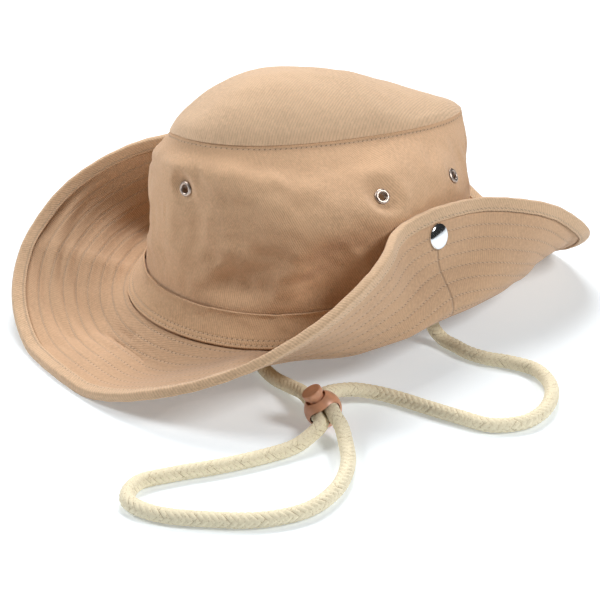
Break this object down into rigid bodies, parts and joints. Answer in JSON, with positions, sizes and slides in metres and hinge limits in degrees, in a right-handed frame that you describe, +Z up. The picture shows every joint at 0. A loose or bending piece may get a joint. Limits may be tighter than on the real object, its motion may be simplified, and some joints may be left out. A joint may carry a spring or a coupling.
{
  "type": "bush hat",
  "caption": "Soft cotton bush hat with an oval crown, a brim snapped up at the sides, and a chin cord on a sliding lock.",
  "frame": {"origin": "middle of the hat without its cord, on the surface that it rests on", "axes": "+Z up; the front of the hat faces -Y and the wearer's left is +X"},
  "size_m": [0.3449, 0.3851, 0.148],
  "materials": {
    "crown_twill": "tan cotton twill",
    "band_twill": "tan cotton twill",
    "brim_twill": "tan cotton twill, quilted in rows of stitches",
    "binding_twill": "tan cotton twill tape",
    "nickel": "satin nickel",
    "polished_steel": "polished",
    "cord_braid": "cream cotton braid",
    "lock_resin": "copper brown with a soft sheen"
  },
  "bodies": {
    "hat": {"crown_wall": "crown_twill", "crown_tip": "crown_twill", "hatband": "band_twill", "brim": "brim_twill", "edge_binding": "binding_twill", "eyelet_front": "nickel", "eyelet_side_left": "nickel", "eyelet_side_right": "nickel", "eyelet_rear_left": "nickel", "eyelet_rear_right": "nickel", "snap_socket_left": "polished_steel", "snap_socket_right": "polished_steel", "snap_stud_left": "polished_steel", "snap_stud_right": "polished_steel", "chin_cord": "cord_braid", "lock_ball": "lock_resin"},
    "lock_press_button": {"lock_button": "lock_resin"}
  },
  "joints": [
    {"name": "lock_press", "type": "slide", "parent": "hat", "child": "lock_press_button", "axis": [0.19, 0.457, -0.869], "range_m": [0, 0.002], "stiffness_N_per_m": 500}
  ]
}
